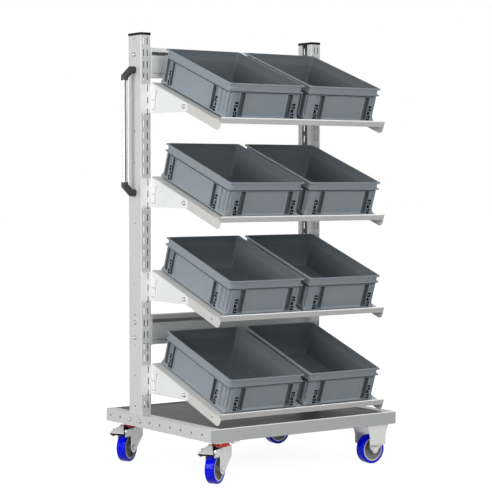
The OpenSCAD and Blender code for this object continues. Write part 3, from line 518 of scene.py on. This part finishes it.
# Trays
# Folded steel shelves in a warm light grey coat, with turned-down sides that the pivot and
# tilt bolts go through, and a raised front lip that holds the bins.
tray_coat = finish("tray_coat", (0.64, 0.632, 0.61), 0.4, shine=0.3)
for shelf in shelves:
    dress(tray_coat, 0.0012, f"tray_{shelf}")


def on_tray(points, shelf):
    """Turns points given along a tray, back from its pivot and square to it, to its slope, in metres."""
    pivot = np.array([0, pivot_y, pivot_z(shelf)])
    across, back, rise = np.moveaxis(points, -1, 0)
    turned = np.stack([across, back * cos(slope) - rise * sin(slope),
                       back * sin(slope) + rise * cos(slope)], axis=-1)
    return (turned + pivot + row_shift) / 1000


# The lips' upper edges are hemmed, and their bright coat is a painted highlight along them.
hem_r, hem_back, hem_rise = 2.0, -211.8, 29.8
for shelf in shelves:
    tray_low, tray_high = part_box(f"tray_{shelf}")
    half = (tray_high[0] - tray_low[0]) * 1000 / 2
    hem = on_tray(bead(hem_r, hem_back, hem_rise, -half, half), shelf)
    add_piece(f"tray_hem_{shelf}", [hem], edge_painted_highlight, f"tray_body_{shelf}")

# Bins
# Moulded grey stacking containers: a wide rim with a rib below it, corner blocks with
# pierced pockets and deep grooves, flat panels between them, and a base set in for stacking.
bin_width, bin_depth = 300, 400
bin_plastic = finish("bin_plastic", (0.27, 0.306, 0.338), 0.45, patches=0.05, patch_size=0.2, grain=0.0002,
                     shine=0.25)
# Painted shade: the inside, the grooves and the deep slots take this darker grey.
bin_painted_shade = finish("bin_painted_shade", (0.13, 0.149, 0.163), 0.6, patches=0.05, patch_size=0.2, shine=0.15)
# Deeper painted shade: the pockets' holes, the underside and the set-in base take this near black.
bin_painted_deep_shade = finish("bin_painted_deep_shade", (0.018, 0.021, 0.024), 0.6, patches=0.05, patch_size=0.2, shine=0.1)


def bin_shell():
    """One bin in millimetres, its base centred on the origin, and the tone of each of its faces.

    The bin is a stack of closed loops, each a rounded rectangle at a height, inset from the bin's outline
    and with its own corner radius. The loops climb the outside, cross the rim and go down the inside to the
    floor. On the outer wall a loop is pushed in further by a relief that depends on the distance c from the
    nearest corner and the height u: pockets, grooves, ribs and panels are the places where c and u lie
    between two limits. The tones are the plastic's own colour outside, a painted shade on the inside and in
    the grooves and deep slots, and a deeper painted shade in the pierced places and on the underside and
    set-in base.
    """
    # Each loop: its height, its inset and its corner radius.
    wall_in, wall_r, band_r, sharp_r = 2.5, 18, 19, 5
    wall_foot, foot_r, foot_growth = 14.3, 9, 1.2
    base = [(3.0, 22, 8), (0.4, 20, 8), (0, 19.5, 8), (0, 9.1, 8), (0.5, 8.5, 8), (4.0, 8.5, 8),
            (4.4, 7.5, 8), (4.7, 3.0, 3), (5.1, 2.1, 3), (5.6, 1.8, 3), (8.6, 1.8, 3), (9.3, 1.9, 3.5),
            (13.7, 2.2, 8)]
    heights = [wall_foot, 16.7, 17.3, 23.7, 24.3, 26.7, 27.3, 37.7, 38.3, 40.7, 41.3, 47.7, 48.3,
               51.2, 51.8, 56.7, 57.3, 59, 60, 72, 87.4, 88.2, 89.6]
    wall = [(h, wall_in, min(wall_r, foot_r + (h - wall_foot) * foot_growth)) for h in heights]
    rim = [(90.2, 3.2, wall_r), (90.5, 9.5, 12), (94.3, 9.5, 12), (94.7, 1.2, sharp_r), (95.1, 0.3, sharp_r),
           (95.6, 0, sharp_r), (98.2, 0, sharp_r), (98.7, 0.4, sharp_r), (99.1, 1.4, band_r),
           (106, 1.5, band_r), (115.6, 1.4, band_r), (116.1, 0.4, sharp_r), (116.6, 0, sharp_r),
           (119.9, 0, sharp_r), (120.8, 0.4, sharp_r), (121.2, 1.3, sharp_r)]
    inside = [(121.2, 4.8, 12), (120.8, 5.7, 13), (119.6, 6, 14), (112, 6.8, 13.5), (100, 10, 10),
              (94, 13.6, 7), (88, 15.6, 5), (40, 16, 5), (12, 16.4, 5), (8.6, 17.6, 5), (7.3, 20, 4),
              (7, 23, 3)]
    loops = np.array(base + wall + rim + inside)
    height, inset, round_off = loops.T[:, :, None]
    underside_loops, band_after_wall, band_loops = 6, 8, 3
    first_wall, first_rim = len(base) - 1, len(base) + len(wall)
    first_band, first_inside = first_rim + band_after_wall, first_rim + len(rim)

    # Points stand along a side at these values of c, and each list says where the marks of c lie at an end.
    along = np.array([19.5, 20.5, 26.5, 27.5, 28.6, 29.5, 30.1, 32.0, 32.6, 35.5, 36.1, 37.9, 38.5,
                      41.4, 42.0, 43.9, 44.5, 46.4, 47.4, 60.6, 61.6, 64.4, 65.6, 84])
    turn = np.array([0, 0.08, 0.14, 0.38, 0.44, 0.5, 0.56, 0.62, 0.86, 0.92, 1.0])
    marks = [19.5, 20.5, 26.5, 27.5, 28.6, 44.5, 47.4, 60.6, 65.6, 84]
    front_left = [24.6, 25.6, 31.6, 32.5, 33.6, 49.5, 52.4, 70.5, 75.6, 94]
    front_right = [20.6, 20.7, 20.9, 21.0, 21.1, 37, 39.9, 58, 63.1, 81.5]
    side_front = [24.5, 25.5, 42, 43, 56, 71, 73, 90, 95, 113]
    side_rear = [21.5, 22.5, 39, 40, 44, 56, 58, 69, 74, 92]
    half_x, half_y, least_step = bin_width / 2, bin_depth / 2, 0.03

    def one_side(half, first, last):
        """Places along a side from its middle, and c, whose marks lie at listed distances from each end."""
        c = np.concatenate([along, [half], along[::-1]])
        place = np.concatenate([np.interp(along, marks, first) - half, [0.0],
                                half - np.interp(along, marks, last)[::-1]])
        return place, c

    def corner_arc(corner_x, corner_y, first_angle):
        """A corner's arc and its outward direction: the centre lies inset plus radius inside the corner."""
        angle = first_angle + turn * pi / 2
        reach = inset + round_off
        x = corner_x * (half_x - reach) + round_off * np.cos(angle)
        y = corner_y * (half_y - reach) + round_off * np.sin(angle)
        return x, y, np.cos(angle), np.sin(angle)

    flute = ((turn > 0.13) & (turn < 0.39)) | ((turn > 0.61) & (turn < 0.87))
    place_x, c_x = one_side(half_x, front_left, front_right)
    place_y, c_y = one_side(half_y, side_rear, side_front)
    flat = np.zeros_like(height)
    stretches = []
    for corner_x, corner_y, start, place, c, across in (
            (-1, -1, pi, place_x, c_x, (0, -1)), (1, -1, 1.5 * pi, place_y, c_y, (1, 0)),
            (1, 1, 0, -place_x, c_x, (0, 1)), (-1, 1, 0.5 * pi, -place_y, c_y, (-1, 0))):
        x, y, nx, ny = corner_arc(corner_x, corner_y, start)
        stretches.append((x, y, nx + flat, ny + flat, np.full_like(turn, -1.0) + flat, flute + flat))
        order = np.arange(len(c))
        from_end = 1 + np.minimum(order, order[::-1])
        room = (half_x if across[0] == 0 else half_y) - inset - round_off - least_step * from_end
        held = np.clip(place, -room, room)
        if across[0] == 0:
            x, y = held, across[1] * (half_y - inset) + 0 * place
        else:
            x, y = across[0] * (half_x - inset) + 0 * place, held
        slots = abs(across[0]) * ((c > 20) & (c < 27)) * np.where(order < len(c) // 2, 2, 1)
        stretches.append((x, y, across[0] + 0 * x, across[1] + 0 * x, c + flat, slots + flat))
    x, y, nx, ny, c, fluted = (np.concatenate(s, axis=1) for s in zip(*stretches))

    u = height + 0 * x
    level = np.arange(len(loops))[:, None] + 0 * x
    on_wall = (level >= first_wall) & (level < first_rim)
    on_band = (level >= first_band) & (level < first_band + band_loops)

    def within(c0, c1, u0, u1):
        """Whether a point of the wall lies between two distances from the corner and two heights."""
        return on_wall & (c > c0) & (c < c1) & (u > u0) & (u < u1)

    panel_depth, groove_depth, block_depth, pocket_depth, hole_depth = 6, 11.5, 3.5, 3.0, 14.9
    flute_depth, slot_depth, notch_depth, shade_from_depth = 3.6, 7, 1.2, 6.5
    low, high, pocket_from, pocket_to = 12, 89, 29.8, 44.2
    groove_from, groove_to, panel_from = 46.9, 61.1, 65
    relief = np.where(within(panel_from, np.inf, low, high), panel_depth - inset, 0 * x)
    relief = np.where(within(groove_from, groove_to, low, high), groove_depth, relief)
    relief = np.where(within(pocket_from, pocket_to, 59.5, high), block_depth, relief)
    relief = np.where(within(pocket_from, pocket_to, low, 58), pocket_depth, relief)
    pierced = within(pocket_from, pocket_to, low, 14) | within(pocket_from, pocket_to, 51.5, 57)
    pierced = pierced | within(32.3, 41.7, 27, 38)
    for u0, u1 in ((17, 24), (41, 48)):
        pierced = pierced | within(pocket_from, 35.8, u0, u1) | within(38.2, pocket_to, u0, u1)
    relief = np.where(pierced, hole_depth - inset, relief)
    ribbed = on_wall & (u > 16) & (u < high)
    relief = np.where((fluted == 1) & ribbed, flute_depth, relief)
    relief = np.where((fluted == 2) & ribbed, slot_depth, relief)
    relief = np.where(on_band & (c < 0), notch_depth, relief)

    def touches(marked):
        """Whether any corner of a face is marked."""
        ahead = np.roll(marked, -1, axis=1)
        return marked[:-1] | marked[1:] | ahead[:-1] | ahead[1:]

    # Painted shade on faces in deep relief and on the whole inside, and deeper painted shade on faces at the
    # holes, under the base and on its set-in face.
    outside_tone, painted_shade_tone, painted_deep_shade_tone = 0, 1, 2
    tone = np.where(touches(relief > shade_from_depth), painted_shade_tone, outside_tone)
    tone = np.where(touches(pierced | (level < underside_loops)), painted_deep_shade_tone, tone)
    tone[first_inside:] = painted_shade_tone
    points = np.stack([x - nx * relief, y - ny * relief, u], axis=-1)
    return points, np.append(tone.ravel(), [painted_deep_shade_tone, painted_shade_tone])


def place_bin(points, shelf, side):
    """Sets a bin's points on its tray, beside the other bin and behind the lip, in metres."""
    front, floor_rise, centre = -188, 16.05, 161.5
    place = np.array([centre if side == "right" else -centre, bin_depth / 2 + front, floor_rise])
    return on_tray(points + place, shelf)


shell, tone = bin_shell()
for shelf in shelves:
    for side in ("left", "right"):
        name = f"bin_{shelf}_{side}"
        piece = add_piece(f"stacking_{name}", [place_bin(shell, shelf, side)], bin_plastic,
                          f"bin_body_{shelf}_{side}")
        piece.data.materials.append(bin_painted_shade)
        piece.data.materials.append(bin_painted_deep_shade)
        piece.data.polygons.foreach_set("material_index", tone.astype(np.int32))
        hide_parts(name)

# Swivel casters
# Pressed zinc-plated forks turn under a bolted plate on a bearing with a red seal. A foot
# pedal of coated sheet with a black plastic root and pad brakes the wheel.
seal_plastic = finish("seal_plastic", (0.9, 0.025, 0.018), 0.35, grain=0.0001)
pedal_coat = finish("pedal_coat", (0.5, 0.5, 0.5), 0.35)
dress(zinc, 0.0008, "swivel_plates", "fork_front", "fork_rear", "swivel_axle_front", "swivel_axle_rear")
dress(seal_plastic, 0.0008, "swivel_seals")
swivel_x, fixed_x, end_y = -310, 314, {"front": -270, "rear": 270}
swivel_angle = radians(31)


def pedal_plate():
    """The pedal's pressed plate in millimetres from the swivel's axis, with its tip at negative X.

    A row of stations gives a place along X, a height and a half width. The section at each is a flat sheet
    with broken side edges, set square to the row. The last stations roll the tip over and down.
    """
    rows = np.array([(-74, 131.5, 6.5), (-82, 129.2, 7.5), (-95, 122.6, 14.3), (-106, 116.6, 20.3),
                     (-112, 113.2, 23.6), (-115.3, 111, 25.6), (-117.4, 108.6, 27), (-118, 105.6, 27)])
    sheet, edge_depth, edge_in = 2.5, 0.7, 0.97
    along = np.gradient(rows[:, :2], axis=0)
    along /= np.linalg.norm(along, axis=1)[:, None]
    square = np.stack([along[:, 1], -along[:, 0]], axis=1)
    across = np.array([-1, -1, -edge_in, edge_in, 1, 1])
    depth = np.array([sheet, edge_depth, 0, 0, edge_depth, sheet])
    x = rows[:, :1] - square[:, :1] * depth
    z = rows[:, 1:2] - square[:, 1:] * depth
    return np.stack([x, rows[:, 2:] * across, z], axis=-1)


def at_swivel(points, end):
    """Turns a caster's points to the angle it stands at and moves them to its place, in metres."""
    place = np.array([swivel_x, end_y[end], 0]) + row_shift
    x = points[..., 0] * cos(swivel_angle) - points[..., 1] * sin(swivel_angle)
    y = points[..., 0] * sin(swivel_angle) + points[..., 1] * cos(swivel_angle)
    return (np.stack([x, y, points[..., 2]], axis=-1) + place) / 1000


barrel_x, barrel_z, barrel_r = -56, 113.1, 6
barrel_turn = np.linspace(0, -2 * pi, 24, endpoint=False)
barrel = np.stack([barrel_x + barrel_r * np.cos(barrel_turn),
                   barrel_z + barrel_r * np.sin(barrel_turn)], axis=-1)
root = [(-50, 112), (-62, 108.5), (-88, 121.5), (-88, 126), (-78, 131), (-70, 131), (-50, 119)]
pad = [(-113, 110), (-110.8, 109.6), (-111.2, 102.6), (-115.6, 99.4), (-117.3, 100.8), (-117.3, 106.5)]
barrel_half, root_half, pad_half = 24.6, 7.5, 26.5
grip_bars = [bar_along_y(section, -half, half)
             for section, half in ((barrel, barrel_half), (root, root_half), (pad, pad_half))]
for end in ("front", "rear"):
    plate = add_piece(f"brake_plate_{end}", [at_swivel(pedal_plate(), end)], pedal_coat,
                      f"brake_{end}")
    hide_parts(f"pedal_{end}")
    grip = add_piece(f"brake_grip_{end}", [at_swivel(bar, end) for bar in grip_bars], black_plastic,
                     f"brake_{end}")
    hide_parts(f"pedal_{end}")

# Wheels
# Grey moulded hubs with a flat ring on each side of the rim, its light grey a painted highlight along the
# tyre's inner edge, and a cast tyre of blue elastic plastic, the same on all four casters. Each turns on its
# caster's axle.
hub_plastic = finish("hub_plastic", (0.27, 0.262, 0.245), 0.4, shine=0.2)
tyre_blue = finish("tyre_blue", (0.0, 0.004, 0.78), 0.12, patches=0.08, grain=0.00003, uneven=0.03,
                   shine=0.12)
# The rings' light grey is a painted highlight along the tyres' inner edges.
ring_painted_highlight = finish("ring_painted_highlight", (0.6, 0.61, 0.64), 0.35)
trail, wheel_r = 44, 50


def rim_ring(side):
    """A flat ring on a wheel's rim in millimetres: a chamfered section carried round the wheel's axis, Y."""
    inner, outer, face, proud, chamfer = 35.6, 40.8, 14, 1.4, 0.8
    shoulder = 0.7 * proud
    section = np.array([(inner, face), (outer, face), (outer, face + shoulder),
                        (outer - chamfer, face + proud), (inner + chamfer, face + proud),
                        (inner, face + shoulder)])[::side]
    angle = np.linspace(0, 2 * pi, 48, endpoint=False)[:, None]
    reach, y = section.T
    return np.stack([reach * np.cos(angle), side * y + 0 * angle, reach * np.sin(angle)], axis=-1)


for corner in ("front_left", "front_right", "rear_left", "rear_right"):
    dress(hub_plastic, 0.0006, f"hub_{corner}")
    dress(tyre_blue, 0, f"tyre_{corner}")
    end, side = corner.split("_")
    if side == "left":
        rings = [at_swivel(rim_ring(s) + np.array([-trail, 0, wheel_r]), end) for s in (1, -1)]
    else:
        middle = np.array([fixed_x, end_y[end], wheel_r]) + row_shift
        rings = [(rim_ring(s) + middle) / 1000 for s in (1, -1)]
    add_piece(f"rim_ring_{corner}", rings, ring_painted_highlight, f"wheel_{corner}", ring=True)

# Fixed casters
# Pressed zinc-plated brackets bolted under the right side, whose legs step in to hold the
# wheels' axles.
dress(zinc, 0.0008, "fixed_bracket_front", "fixed_bracket_rear", "fixed_axles")
